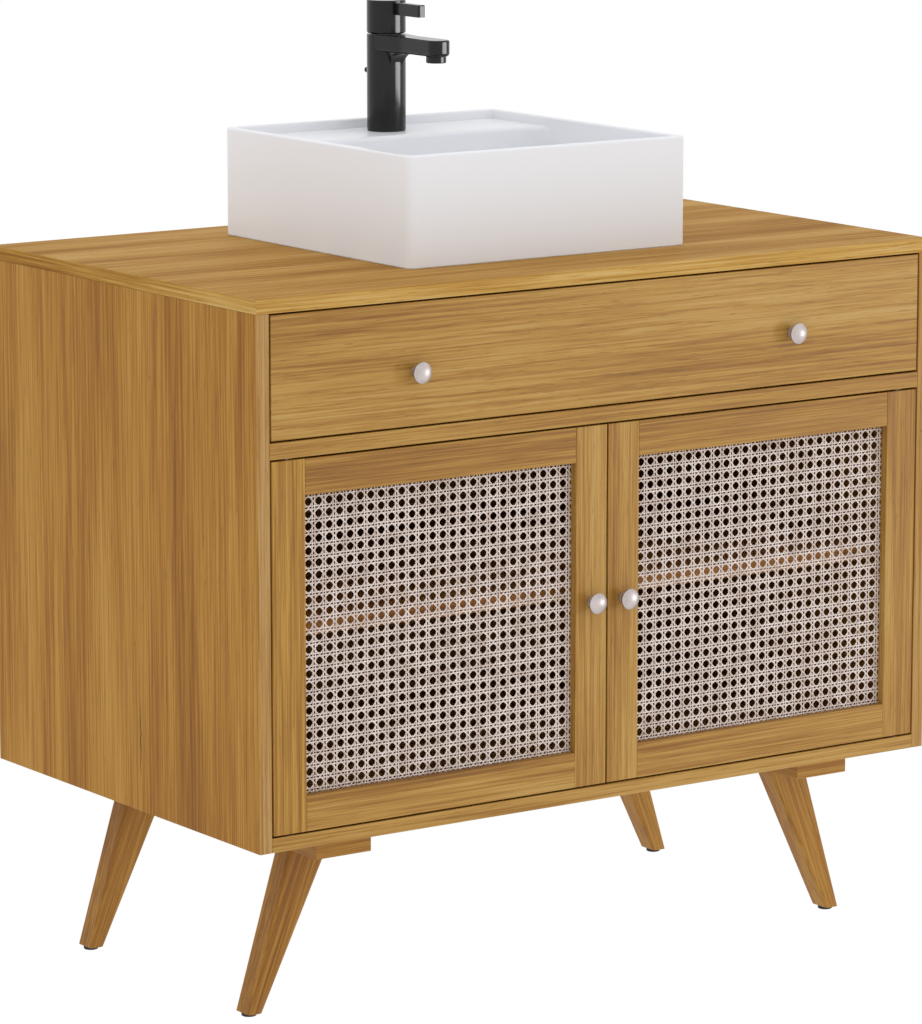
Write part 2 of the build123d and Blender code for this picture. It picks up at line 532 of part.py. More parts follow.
def waste():
    """Pop-up waste: body with flange, seals, clamp nut, tailpiece and plug."""
    seat = BOWL_FLOOR + GASKET
    body = rod((0, BASIN_Y, WASTE_BOTTOM), (0, BASIN_Y, seat), WASTE_R)
    flange = rod((0, BASIN_Y, seat), (0, BASIN_Y, seat + FLANGE), FLANGE_R)
    body += soften(flange, 1.2, lambda e: e.group_by(Axis.Z)[-1])
    body += rod((0, BASIN_Y, PIVOT_LEVEL), (0, BALL_Y + PORT_REACH, PIVOT_LEVEL), PORT_R)
    body -= rod((0, BASIN_Y, WASTE_BOTTOM - 1), (0, BASIN_Y, seat + FLANGE + 1), WASTE_BORE_R)
    mouth = [(0, seat), (WASTE_BORE_R, seat), (FLANGE_R - 5.0, seat + FLANGE), (0, seat + FLANGE)]
    body -= turned(mouth, (0, BASIN_Y, 0))
    # The lever's port widens both ways from its ball seat, so that the lever swings in it.
    outward = Pos(0, 0, PORT_CONE / 2) * Cone(PORT_NARROW, PORT_WIDE, PORT_CONE)
    inward = Pos(0, 0, -PORT_CONE / 2) * Cone(PORT_WIDE, PORT_NARROW, PORT_CONE)
    body -= Pos(0, BALL_Y, PIVOT_LEVEL) * Rot(X=-90) * (outward + inward)
    save("waste_body", body)
    save("waste_gasket", ring(0, BASIN_Y, BOWL_FLOOR, seat, GASKET_R, WASTE_R))
    save("waste_washer", ring(0, BASIN_Y, UNDER_TOP - WASHER, UNDER_TOP, WASHER_R, WASTE_R))
    nut_base = Plane.XY.offset(UNDER_TOP - NUT_TOP - NUT)
    nut = extrude(nut_base * Pos(0, BASIN_Y) * RegularPolygon(NUT_R, 8), NUT)
    save("waste_nut", nut - rod((0, BASIN_Y, 0), (0, BASIN_Y, TOP_Z), WASTE_R))
    tail = rod((0, BASIN_Y, WASTE_BOTTOM - TAIL_LENGTH), (0, BASIN_Y, WASTE_BOTTOM), TAIL_R)
    tail += rod((0, BASIN_Y, WASTE_BOTTOM), (0, BASIN_Y, WASTE_BOTTOM + TAIL_SOCKET), WASTE_BORE_R)
    tail -= rod((0, BASIN_Y, 0), (0, BASIN_Y, TOP_Z), TAIL_BORE_R)
    save("tailpiece", tail)
    rest = seat + FLANGE + PLUG_CLEARANCE + PLUG_LIFT
    cap = rod((0, BASIN_Y, rest), (0, BASIN_Y, rest + PLUG), PLUG_R)
    cap = soften(cap, PLUG_EDGE, lambda e: e.group_by(Axis.Z)[-1])
    stem = rod((0, BASIN_Y, PIVOT_LEVEL + STEM_ABOVE_LEVER), (0, BASIN_Y, rest), PLUG_STEM_R)
    wing = Box(2 * (WASTE_BORE_R - 3), PLUG_WING, PLUG_WING_HEIGHT)
    cross = [Pos(0, BASIN_Y, rest + 2 - PLUG_WING_HEIGHT) * Rot(Z=turn) * wing for turn in (0, 90)]
    save("waste_plug", cap + stem + cross[0] + cross[1])


# ---- tap ----------------------------------------------------------------------------------
CAP_GAP = 1.2
CAP_Z = DECK_Z + TAP_BODY_HEIGHT + CAP_GAP
CAP_HEIGHT = 36.5
CAP_BORE_R, CAP_ROOF, CAP_EDGE = 18.5, 10.0, 1.2
SPOUT_REACH, SPOUT_WIDTH, SPOUT_THICK = 112.0, 26.0, 18.0
SPOUT_NOSE_R, SPOUT_UNDER_R, SPOUT_TOP_R = 12.0, 4.0, 2.0
SPOUT_FLARE, SPOUT_WAIST_R = 48.0, 60.0    # forward of here the flanks are parallel
SPOUT_ROOT = 19.0                          # depth of the curved fan under the spout
FAN_TOP, FAN_FOOT = 12.5, 6.0              # half widths of the fan
AERATOR_REACH, AERATOR_R, AERATOR_DROP = 97.0, 11.0, 7.0
AERATOR_SEAT_R, AERATOR_SEAT = 9.0, 10.0
AERATOR_MOUTH_R, AERATOR_BORE_R = 8.5, 5.0
WATERWAY_R, WATERWAY_DROP = 4.5, 11.0
CARTRIDGE_R, CARTRIDGE_DEPTH = 17.0, 30.0
CARTRIDGE_NECK_R, CARTRIDGE_NECK = 13.0, 6.0
SPINDLE_R, SPINDLE_START, SPINDLE_END = 5.0, 6.3, 16.0
LEVER_REACH, LEVER_WIDTH, LEVER_THICK, LEVER_DROP = 70.0, 9.0, 13.5, 2.0
TAP_FOOT, TAP_FOOT_INSET, TAP_FOOT_BORE_R = 2.0, 0.4, 15.0
INLET_X, INLET_BACK, INLET_R, INLET_DEPTH = 8.0, 2.0, 5.0, 20.0
STUD_FORWARD, STUD_R, STUD_BITE, STUD_BELOW = 11.0, 4.0, 22.0, 45.0
CLAMP_R, CLAMP, CLAMP_NUT_R, CLAMP_NUT = 25.0, 3.0, 8.0, 7.0
HORSESHOE_HALF, HORSESHOE_END = 14.0, 5.0  # the clamp's slot: half width, and its end before the tap axis
ROD_SLOPE = 18.0 / 68.0                    # the pull rod leans back by this much for each millimetre up
ROD_AT_DECK = 12.0                         # rod behind the tap axis at the deck
ROD_R, ROD_CLEARANCE = 2.0, 1.0
ROD_TOP = 64.0                             # the rod's upper end above the deck
GRIP_BEHIND, GRIP_R = 38.0, 3.2            # ball grip: behind the tap axis, and its radius
EYE_R, EYE_DROP, EYE_WALL, EYE_THICK = 5.0, 0.6, 2.0, 3.0
BALL_R = 2.95


def rod_point(up):
    """A point of the pull rod's axis, a height above the deck."""
    return (0, TAP_Y + ROD_AT_DECK + ROD_SLOPE * up, DECK_Z + up)


def before_column(edges):
    """The edges that stand before the tap's axis."""
    return edges.filter_by(lambda e: e.center().Y < TAP_Y - TAP_RADIUS / 2)


def spout_arm(face, top):
    """The spout: flanks that leave the column along its tangents, a round nose and soft edges."""
    half = SPOUT_WIDTH / 2
    inner_r = TAP_RADIUS - 0.3             # just inside the column, so that the surfaces cross
    turn = math.atan2(half, SPOUT_FLARE) + math.acos(inner_r / math.hypot(half, SPOUT_FLARE))
    root_x, root_y = inner_r * math.sin(turn), TAP_Y - inner_r * math.cos(turn)
    right = [(root_x, root_y), (half, TAP_Y - SPOUT_FLARE), (half, TAP_Y - SPOUT_REACH)]
    left = [(-x, y) for x, y in reversed(right)]
    arm = extrude(Plane.XY.offset(face) * make_face(Polyline(*right, *left, close=True)), top - face)
    arm = soften(arm, SPOUT_NOSE_R, lambda e: e.filter_by(Axis.Z).group_by(Axis.Y)[0])
    arm = soften(arm, SPOUT_WAIST_R, lambda e: e.filter_by(Axis.Z).sort_by(Axis.Y)[4:6])
    arm = soften(arm, SPOUT_UNDER_R, lambda e: before_column(e.group_by(Axis.Z)[0]))
    return soften(arm, SPOUT_TOP_R, lambda e: before_column(e.group_by(Axis.Z)[-1]))


def spout_fan(face):
    """A curved fan under the spout that narrows down the column."""
    root_y = TAP_Y - TAP_RADIUS + 1.5
    low, out = face - SPOUT_ROOT, root_y - SPOUT_ROOT
    bulge = SPOUT_ROOT * (1 - math.sqrt(0.5))
    curve = ThreePointArc((out, face), (root_y - bulge, face - bulge), (root_y, low))
    inside = [(root_y, low), (TAP_Y, low), (TAP_Y, face + 1), (out, face + 1), (out, face)]
    side_view = extrude(make_face(Plane.YZ * (Polyline(*inside) + curve)), FAN_TOP, both=True)
    front = [(-FAN_TOP, face + 1), (FAN_TOP, face + 1), (FAN_FOOT, low), (-FAN_FOOT, low)]
    front_view = extrude(make_face(Plane.XZ * Polyline(*front, close=True)), 2 * DEPTH, both=True)
    return side_view & front_view


def tap_body():
    """The column with its spout, bored for the cartridge, the waterway, the inlets and the stud."""
    z0, z1 = DECK_Z + TAP_FOOT, DECK_Z + TAP_BODY_HEIGHT
    face = z1 - SPOUT_THICK
    body = rod((0, TAP_Y, z0), (0, TAP_Y, z1), TAP_RADIUS) + spout_arm(face, z1) + spout_fan(face)
    body -= rod((0, TAP_Y, z1 - CARTRIDGE_DEPTH), (0, TAP_Y, z1 + 1), CARTRIDGE_R)
    inlet_y, stud_y, aerator_y = TAP_Y + INLET_BACK, TAP_Y - STUD_FORWARD, TAP_Y - AERATOR_REACH
    for x in (-INLET_X, INLET_X):
        body -= rod((x, inlet_y, z0 - 1), (x, inlet_y, z0 + INLET_DEPTH), INLET_R)
    body -= rod((0, stud_y, z0 - 1), (0, stud_y, DECK_Z + STUD_BITE), STUD_R)
    body -= rod((0, aerator_y, face - 1), (0, aerator_y, face + AERATOR_SEAT), AERATOR_SEAT_R)
    water_z = z1 - WATERWAY_DROP
    body -= rod((0, aerator_y, water_z), (0, TAP_Y - CARTRIDGE_R / 2, water_z), WATERWAY_R)
    body -= rod(rod_point(0), rod_point(ROD_TOP), ROD_R + ROD_CLEARANCE)
    save("tap_body", body)
    foot = ring(0, TAP_Y, DECK_Z, z0, TAP_RADIUS - TAP_FOOT_INSET, TAP_FOOT_BORE_R)
    save("tap_base_ring", foot - rod(rod_point(-20), rod_point(30), ROD_R + ROD_CLEARANCE))
    nozzle = rod((0, aerator_y, face - AERATOR_DROP), (0, aerator_y, face), AERATOR_R)
    nozzle = soften(nozzle, 1.0, lambda e: e.group_by(Axis.Z)[0])
    nozzle += rod((0, aerator_y, face), (0, aerator_y, face + AERATOR_SEAT / 2), AERATOR_SEAT_R)
    mouth = face - AERATOR_DROP
    nozzle -= rod((0, aerator_y, mouth - 1), (0, aerator_y, mouth + 2), AERATOR_MOUTH_R)
    save("tap_aerator", nozzle - rod((0, aerator_y, face - 20), (0, aerator_y, face + 20), AERATOR_BORE_R))


def tap_inside():
    """Cartridge and spindle, and the stud that pulls the tap down on the deck."""
    z1 = DECK_Z + TAP_BODY_HEIGHT
    cartridge = rod((0, TAP_Y, z1 - CARTRIDGE_DEPTH), (0, TAP_Y, z1), CARTRIDGE_R)
    save("tap_cartridge", cartridge + rod((0, TAP_Y, z1), (0, TAP_Y, z1 + CARTRIDGE_NECK), CARTRIDGE_NECK_R))
    save("tap_spindle", rod((0, TAP_Y, z1 + SPINDLE_START), (0, TAP_Y, z1 + SPINDLE_END), SPINDLE_R))
    under = DECK_Z - CERAMIC
    stud_y = TAP_Y - STUD_FORWARD
    stud = rod((0, stud_y, under - STUD_BELOW), (0, stud_y, DECK_Z + STUD_BITE), STUD_R)
    washer = rod((0, TAP_Y, under - CLAMP), (0, TAP_Y, under), CLAMP_R) - stud
    slot_y = (TAP_Y - HORSESHOE_END, TAP_Y + CLAMP_R + 1)
    washer -= box(-HORSESHOE_HALF, HORSESHOE_HALF, *slot_y, under - CLAMP, under)
    nut_base = Plane.XY.offset(under - CLAMP - CLAMP_NUT)
    nut = extrude(nut_base * Pos(0, stud_y) * RegularPolygon(CLAMP_NUT_R, 6), CLAMP_NUT)
    save("tap_clamp_set", stud, washer, nut - stud)


def tap_handle():
    """The cap with its lever, hollow below so that it tilts over the cartridge."""
    top = CAP_Z + CAP_HEIGHT
    cap = rod((0, TAP_Y, CAP_Z), (0, TAP_Y, top), TAP_RADIUS)
    cap = chamfer(cap.edges().group_by(Axis.Z)[0], CAP_EDGE)
    cap = soften(cap, CAP_EDGE, lambda e: e.group_by(Axis.Z)[-1])
    z1 = top - LEVER_DROP
    lever = box(-LEVER_WIDTH / 2, LEVER_WIDTH / 2, TAP_Y - LEVER_REACH, TAP_Y, z1 - LEVER_THICK, z1)
    lever = soften(lever, 2.0, lambda e: e.filter_by(Axis.Z).group_by(Axis.Y)[0])
    lever = soften(lever, 1.2, lambda e: before_column(e.group_by(Axis.Z)[-1]))
    save("tap_handle", cap + lever - rod((0, TAP_Y, CAP_Z - 1), (0, TAP_Y, top - CAP_ROOF), CAP_BORE_R))


def pop_up_linkage():
    """Pull rod behind the tap, bent back to its grip, with an eye around the plug's lever."""
    tilt = math.radians(LEVER_TILT)
    # The rod's slanted line meets the tilted lever here.
    eye_up = -(DECK_Z - PIVOT_LEVEL) - (TAP_Y + ROD_AT_DECK - BALL_Y) * math.tan(tilt)
    eye_up = eye_up / (1 + ROD_SLOPE * math.tan(tilt)) + EYE_DROP
    eye = rod_point(eye_up)
    bend = Pos(*rod_point(ROD_TOP)) * Sphere(ROD_R)
    pull = rod(rod_point(eye_up + EYE_R), rod_point(ROD_TOP), ROD_R) + bend
    end = (0, TAP_Y + GRIP_BEHIND, DECK_Z + ROD_TOP)
    grip = rod(rod_point(ROD_TOP), end, ROD_R) + Pos(*end) * Sphere(GRIP_R)
    near, far = eye[1] - EYE_THICK / 2, eye[1] + EYE_THICK / 2
    loop = rod((0, near, eye[2]), (0, far, eye[2]), EYE_R + EYE_WALL)
    loop -= rod((0, near - 1, eye[2]), (0, far + 1, eye[2]), EYE_R)
    save("pull_rod", pull + grip + loop)
    lever = rod((0, -LEVER_INNER, 0), (0, LEVER_OUTER, 0), LEVER_R) + Sphere(BALL_R)
    save("pop_up_lever", Pos(0, BALL_Y, PIVOT_LEVEL) * Rot(X=-LEVER_TILT) * lever)


carcass(base())
pivot_bushes()
door(LEFT, "left")
door(RIGHT, "right")
catches()
drawer()
slides()
basin()
waste()
tap_body()
tap_inside()
tap_handle()
pop_up_linkage()
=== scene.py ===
"""Looks of the vessel sink on vanity: woven cane, procedural materials, studio light and camera."""
import math
import random
from typing import NamedTuple

import bpy
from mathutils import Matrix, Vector


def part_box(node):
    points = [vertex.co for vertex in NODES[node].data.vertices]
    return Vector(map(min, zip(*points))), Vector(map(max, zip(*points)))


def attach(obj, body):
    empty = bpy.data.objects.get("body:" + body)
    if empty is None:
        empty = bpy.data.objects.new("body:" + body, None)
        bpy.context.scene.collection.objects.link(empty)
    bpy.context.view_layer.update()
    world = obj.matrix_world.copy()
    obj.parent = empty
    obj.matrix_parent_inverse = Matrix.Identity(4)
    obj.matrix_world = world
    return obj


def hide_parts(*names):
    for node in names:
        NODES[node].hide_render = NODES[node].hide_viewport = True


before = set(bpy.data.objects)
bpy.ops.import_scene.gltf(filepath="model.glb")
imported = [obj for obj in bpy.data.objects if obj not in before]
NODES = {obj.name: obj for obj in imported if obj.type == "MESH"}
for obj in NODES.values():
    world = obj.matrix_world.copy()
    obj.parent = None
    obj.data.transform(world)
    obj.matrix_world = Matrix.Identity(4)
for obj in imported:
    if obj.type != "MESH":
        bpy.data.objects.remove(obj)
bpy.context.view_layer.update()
MM = 0.001
X, Y, Z = 0, 1, 2


# ---- node helpers -------------------------------------------------------------------------
def linear(red, green, blue):
    """A colour given in screen values, 0 to 255, as linear light."""
    def one(value):
        value /= 255.0
        return value / 12.92 if value <= 0.04045 else ((value + 0.055) / 1.055) ** 2.4
    return (one(red), one(green), one(blue), 1.0)


class Graph:
    """A material's node tree, with short ways to add and join nodes."""

    def __init__(self, name, **surface):
        self.material = bpy.data.materials.new(name)
        self.material.use_nodes = True
        self.tree = self.material.node_tree
        self.shader = self.tree.nodes["Principled BSDF"]
        for socket, value in surface.items():
            self.shader.inputs[socket.replace("_", " ")].default_value = value

    def add(self, kind, **settings):
        node = self.tree.nodes.new("ShaderNode" + kind)
        for name, value in settings.items():
            setattr(node, name, value)
        return node

    def join(self, output, target):
        self.tree.links.new(output, target)

    def feed(self, socket, value):
        """Gives a socket a number or a colour, or joins an output to it."""
        if isinstance(value, (int, float, tuple)):
            socket.default_value = value
        else:
            self.join(value, socket)

    def coordinates(self):
        return self.add("TexCoord").outputs["Object"]

    def facing(self, axis):
        """How squarely a face looks along an axis, from 0 to 1."""
        parts = self.add("SeparateXYZ")
        self.join(self.add("TexCoord").outputs["Normal"], parts.inputs["Vector"])
        return self.calc("ABSOLUTE", parts.outputs[axis])

    def mapped(self, vector, scale=(1, 1, 1), turn=(0, 0, 0), move=(0, 0, 0)):
        node = self.add("Mapping")
        node.inputs["Scale"].default_value = scale
        node.inputs["Rotation"].default_value = turn
        node.inputs["Location"].default_value = move
        self.join(vector, node.inputs["Vector"])
        return node.outputs["Vector"]

    def noise(self, vector, scale=1.0, detail=2.0, roughness=0.5, distortion=0.0):
        node = self.add("TexNoise")
        self.join(vector, node.inputs["Vector"])
        node.inputs["Scale"].default_value = scale
        node.inputs["Detail"].default_value = detail
        node.inputs["Roughness"].default_value = roughness
        node.inputs["Distortion"].default_value = distortion
        return node.outputs["Fac"]

    def even_noise(self, scale, detail):
        """Noise of the same grain in every direction."""
        return self.noise(self.mapped(self.coordinates(), scale=(scale, scale, scale)), detail=detail)

    def calc(self, operation, first, second=0.0):
        node = self.add("Math", operation=operation)
        self.feed(node.inputs[0], first)
        self.feed(node.inputs[1], second)
        return node.outputs["Value"]

    def weigh(self, *terms):
        """The sum of outputs, each times its share."""
        total = None
        for output, share in terms:
            term = self.calc("MULTIPLY", output, share)
            total = term if total is None else self.calc("ADD", total, term)
        return total

    def spread(self, value, low, high, start=0.0, end=1.0):
        """Stretches low..high to start..end, and clamps."""
        node = self.add("MapRange")
        self.join(value, node.inputs["Value"])
        for name, number in (("From Min", low), ("From Max", high), ("To Min", start), ("To Max", end)):
            node.inputs[name].default_value = number
        return node.outputs["Result"]

    def ramp(self, value, *stops):
        node = self.add("ValToRGB")
        self.join(value, node.inputs["Fac"])
        elements = node.color_ramp.elements
        while len(elements) < len(stops):
            elements.new(0.5)
        for element, (place, colour) in zip(elements, stops):
            element.position = place
            element.color = colour
        return node.outputs["Color"]

    def mix(self, amount, first, second, blend="MIX"):
        node = self.add("Mix", data_type="RGBA", blend_type=blend)
        self.feed(node.inputs["Factor"], amount)
        colours = [socket for socket in node.inputs if socket.type == "RGBA"]
        self.feed(colours[0], first)
        self.feed(colours[1], second)
        return next(socket for socket in node.outputs if socket.type == "RGBA")

    def choose(self, amount, first, second):
        """One of two vectors."""
        node = self.add("Mix", data_type="VECTOR")
        self.join(amount, node.inputs["Factor"])
        vectors = [socket for socket in node.inputs if socket.type == "VECTOR"]
        self.join(first, vectors[-2])
        self.join(second, vectors[-1])
        return next(socket for socket in node.outputs if socket.type == "VECTOR")

    def colour(self, output):
        self.join(output, self.shader.inputs["Base Color"])

    def rough(self, output):
        self.join(output, self.shader.inputs["Roughness"])

    def bump(self, height, depth, strength):
        node = self.add("Bump")
        node.inputs["Strength"].default_value = strength
        node.inputs["Distance"].default_value = depth
        self.join(height, node.inputs["Height"])
        self.join(node.outputs["Normal"], self.shader.inputs["Normal"])


# ---- wood ---------------------------------------------------------------------------------
class Layer(NamedTuple):
    """A noise layer of the wood. Its scales are per metre."""

    across: float                      # scale across the grain
    along: float                       # scale along the grain
    detail: float
    low: float                         # the noise that counts as 0
    high: float                        # the noise that counts as 1
    roughness: float = 0.5
    distortion: float = 0.0


BANDS = Layer(17.0, 0.8, 3.0, 0.30, 0.70, distortion=0.4)
GROWTH = Layer(120.0, 2.2, 4.0, 0.32, 0.68, roughness=0.65, distortion=0.5)
STREAKS = Layer(420.0, 6.0, 3.0, 0.34, 0.66, roughness=0.65)
PORES = Layer(1100.0, 38.0, 1.0, 0.66, 0.74)
DARK_LINES = Layer(240.0, 1.5, 2.0, 0.68, 0.76, distortion=0.5)

BAND_SHARE = 0.42                      # shares of the layers in the tone
GROWTH_SHARE = 0.16
STREAK_SHARE = 0.42
PORE_SHARE = 0.45                      # how far these colours cover the tone's
DARK_LINE_SHARE = 0.35
TONES = (
    (0.12, linear(128, 80, 28)),
    (0.40, linear(160, 108, 42)),
    (0.62, linear(182, 132, 58)),
    (0.92, linear(196, 152, 84)),
)
PORE = linear(98, 58, 20)
DARK_LINE = linear(116, 68, 22)
KNOT = linear(58, 32, 12)

LACQUER = (0.42, 0.54)                 # roughness between streaks and on them
PORE_DEPTH = 0.00012                   # metres
PORE_STRENGTH = 0.5
SEED_MOVE = (0.37, 0.71, 0.53)         # metres that the texture moves for each unit of seed
SQUARE_ON = 0.7                        # a face squarer than this to an axis looks along it

RING_SCALES = (("Scale", 34.0), ("Distortion", 6.0), ("Detail", 4.0), ("Detail Scale", 1.6))
RING_STRETCH = 0.16
RING_LEAN = (0.06, 0.07, 0.05)
RING_HEART = (0, 0.05, -0.69)
RING_WIDTH = 0.22                      # the wave's height that ends a ring's dark line

KNOT_CELLS = (9.0, 3.0)                # cells per metre across and along the grain
KNOT_RIM = 0.028                       # a pin knot starts here, as a share of its cell
KNOT_CORE = 0.016

SPLIT_NOISE = 50.0
SPLIT_WANDER = 0.006                   # metres
SPLIT_EDGE = 0.0010
SPLIT_CORE = 0.0003


def stretch(axis, across, along):
    """Texture scale for a grain along one axis."""
    return tuple(along if i == axis else across for i in range(3))


def end_grain(g, place, axis, ends):
    """Object coordinates whose grain runs along ends on the faces that would show end grain."""
    on_end = g.calc("GREATER_THAN", g.facing(axis), SQUARE_ON)
    turn = (0, 0, math.pi / 2) if {axis, ends} == {X, Y} else (0, math.pi / 2, 0)
    return g.choose(on_end, place, g.mapped(place, turn=turn))


def cathedral(g, place, axis):
    """Thin growth lines that arch along the grain of a flat-sawn board."""
    wave = g.add("TexWave", wave_type="RINGS", rings_direction="XYZ"[axis])
    heart = g.mapped(place, scale=stretch(axis, 1.0, RING_STRETCH), turn=RING_LEAN, move=RING_HEART)
    g.join(heart, wave.inputs["Vector"])
    for socket, value in RING_SCALES:
        wave.inputs[socket].default_value = value
    return g.spread(wave.outputs["Fac"], 0.0, RING_WIDTH)


def pin_knots(g, place, axis, colour, strength):
    """A few small dark knots, longer along the grain."""
    cells = g.add("TexVoronoi", feature="F1")
    g.join(g.mapped(place, scale=stretch(axis, *KNOT_CELLS)), cells.inputs["Vector"])
    spot = g.spread(cells.outputs["Distance"], KNOT_RIM, KNOT_CORE)
    return g.mix(g.calc("MULTIPLY", spot, strength), colour, KNOT)


def hairline(g, colour, y, low, high):
    """A fine dark split along the grain of an upright board, from height low to high."""
    place = g.add("SeparateXYZ")
    g.join(g.coordinates(), place.inputs["Vector"])
    wander = g.calc("MULTIPLY", g.noise(g.coordinates(), scale=SPLIT_NOISE, detail=3.0), SPLIT_WANDER)
    off = g.calc("ABSOLUTE", g.calc("SUBTRACT", g.calc("ADD", place.outputs["Y"], wander), y))
    up = g.calc("ABSOLUTE", g.calc("SUBTRACT", place.outputs["Z"], (low + high) / 2))
    span = g.spread(up, (high - low) / 2, (high - low) / 5)
    return g.mix(g.calc("MULTIPLY", g.spread(off, SPLIT_EDGE, SPLIT_CORE), span), colour, KNOT)


def edge_highlight(g, broad, tint, edge_light_tint):
    """A board's tint, with another one along its edges, which on the side panels is a painted highlight on
    their edges; broad is its thin axis.
    """
    on_edge = g.calc("LESS_THAN", g.facing(broad), SQUARE_ON)
    return g.mix(on_edge, tint + (1.0,), edge_light_tint + (1.0,))


def wood(name, axis, seed, lean=0.0, ends=None, rings=0.0, knots=0.0, tint=(1, 1, 1), broad=Z, edge_light_tint=None,
         gloss=0.22, split=None):
    """Lacquered honey wood: tone bands, growth lines, fine streaks, pores and a few pin knots.

    axis is the grain's direction, lean turns it about Y, and ends is the grain's direction
    on faces that would otherwise show end grain, as an edge band does. The edge tint covers the
    edges of a board that is thin along the axis broad; on the side panels it is a painted highlight.
    """
    g = Graph(name, Roughness=0.5, Specular_IOR_Level=gloss)
    place = g.coordinates()
    if lean:
        place = g.mapped(place, turn=(0, lean, 0))
    if ends is not None:
        place = end_grain(g, place, axis, ends)
    place = g.mapped(place, move=tuple(step * seed for step in SEED_MOVE))

    def layer(kind):
        vector = g.mapped(place, scale=stretch(axis, kind.across, kind.along))
        noise = g.noise(vector, detail=kind.detail, roughness=kind.roughness, distortion=kind.distortion)
        return g.spread(noise, kind.low, kind.high)

    streaks = layer(STREAKS)
    pores = layer(PORES)
    tone = g.weigh((layer(BANDS), BAND_SHARE), (layer(GROWTH), GROWTH_SHARE), (streaks, STREAK_SHARE))
    if rings:
        tone = g.weigh((tone, 1.0 - rings), (cathedral(g, place, axis), rings))
    colour = g.ramp(tone, *TONES)
    colour = g.mix(g.calc("MULTIPLY", pores, PORE_SHARE), colour, PORE)
    colour = g.mix(g.calc("MULTIPLY", layer(DARK_LINES), DARK_LINE_SHARE), colour, DARK_LINE)
    if knots:
        colour = pin_knots(g, place, axis, colour, knots)
    if split:
        colour = hairline(g, colour, *split)
    factors = edge_highlight(g, broad, tint, edge_light_tint) if edge_light_tint else tint + (1.0,)
    g.colour(g.mix(1.0, colour, factors, blend="MULTIPLY"))
    g.rough(g.spread(streaks, 0.0, 1.0, *LACQUER))
    g.bump(g.calc("SUBTRACT", streaks, pores), PORE_DEPTH, PORE_STRENGTH)
    return g.material


# ---- other materials ----------------------------------------------------------------------
CANE_FIBRES = 900.0                    # noise scales per metre
CANE_PATCHES = 60.0
CANE_TONES = (
    (0.1, linear(170, 147, 132)),
    (0.5, linear(214, 197, 187)),
    (0.9, linear(236, 226, 220)),
)
GLAZE = linear(238, 239, 243)
COATING_PEEL = 900.0
COATING_CLOUD = (45, 45, 20)
COATING_DARK = (0.004, 0.004, 0.0035, 1)
COATING_LIGHT = (0.007, 0.007, 0.006, 1)
METAL_BRIGHT = 1.06                    # the colour's factors on a metal's lines and between them
METAL_DULL = 0.90
MOULDED_GRIT = 600.0


def cane_material():
    """Dry split cane: pale strands with a warm cast and fibres along them."""
    g = Graph("woven_cane", Roughness=0.55, Specular_IOR_Level=0.4)
    fibres = g.spread(g.even_noise(CANE_FIBRES, detail=2.0), 0.3, 0.7)
    patches = g.spread(g.even_noise(CANE_PATCHES, detail=3.0), 0.35, 0.65)
    g.colour(g.ramp(g.weigh((fibres, 0.7), (patches, 0.3)), *CANE_TONES))
    g.bump(fibres, 0.0001, 0.4)
    return g.material


def ceramic_material():
    """White glaze, even all over."""
    g = Graph("white_glaze", Base_Color=GLAZE, Roughness=0.28, Specular_IOR_Level=0.3)
    return g.material


def metal(name, colour, roughness, wear=0.06, grain=(700, 700, 30), bump=0.00003):
    """Bare metal with fine turning or brushing lines."""
    g = Graph(name, Metallic=1.0)
    lines = g.noise(g.mapped(g.coordinates(), scale=grain), detail=2.0)
    bright = tuple(min(1.0, part * METAL_BRIGHT) for part in colour[:3]) + (1.0,)
    dull = tuple(part * METAL_DULL for part in colour[:3]) + (1.0,)
    g.colour(g.ramp(lines, (0.35, dull), (0.65, bright)))
    g.rough(g.spread(lines, 0.3, 0.7, roughness - wear / 2, roughness + wear / 2))
    g.bump(lines, bump, 0.4)
    return g.material


def black_material():
    """Satin black coating over brass, with a very fine orange peel."""
    g = Graph("satin_black", Specular_IOR_Level=0.32)
    cloud = g.noise(g.mapped(g.coordinates(), scale=COATING_CLOUD), detail=2.0)
    g.colour(g.ramp(cloud, (0.3, COATING_DARK), (0.7, COATING_LIGHT)))
    g.rough(g.spread(cloud, 0.3, 0.7, 0.12, 0.18))
    g.bump(g.even_noise(COATING_PEEL, detail=1.0), 0.00003, 0.25)
    return g.material


def plain(name, dark, light, roughness):
    """Moulded plastic or rubber with a fine mottle."""
    g = Graph(name, Roughness=roughness)
    mottle = g.even_noise(MOULDED_GRIT, detail=2.0)
    g.colour(g.ramp(mottle, (0.35, dark), (0.65, light)))
    g.bump(mottle, 0.00005, 0.3)
    return g.material


# ---- woven cane ---------------------------------------------------------------------------
PITCH = 12.7 * MM                  # from hole to hole
PAIR = 1.55 * MM                   # a strand's middle from its pair's middle
STRAND = 1.7 * MM
THICK = 0.45 * MM
WEAVE = 0.30 * MM                  # a straight strand's rise over the ones it crosses
DIAGONAL = 0.62 * MM               # a diagonal strand's rise
STRAIGHT_WIDTHS = (0.92, 1.06)     # a strand's width as a share of STRAND
DIAGONAL_WIDTHS = (0.88, 1.0)
DOME = ((-0.5, 0.0), (-0.27, 1.0), (0.27, 1.0), (0.5, 0.0))     # share of the width, share of THICK
CLOSEST = 0.2                      # two points of a diagonal strand keep this share of their step apart


def crossings(low, high, middle):
    """Places along a straight strand: at both strands of each pair it crosses, and half way."""
    start = math.floor((low - middle) / PITCH) - 1
    end = math.ceil((high - middle) / PITCH) + 1
    inner = []
    for step in range(start, end + 1):
        pair = middle + step * PITCH
        inner += [(pair - PAIR, 1), (pair, 0), (pair + PAIR, -1), (pair + PITCH / 2, 0)]
    inner = [(place, rise) for place, rise in inner if low < place < high]
    return [(low, 0)] + inner + [(high, 0)]


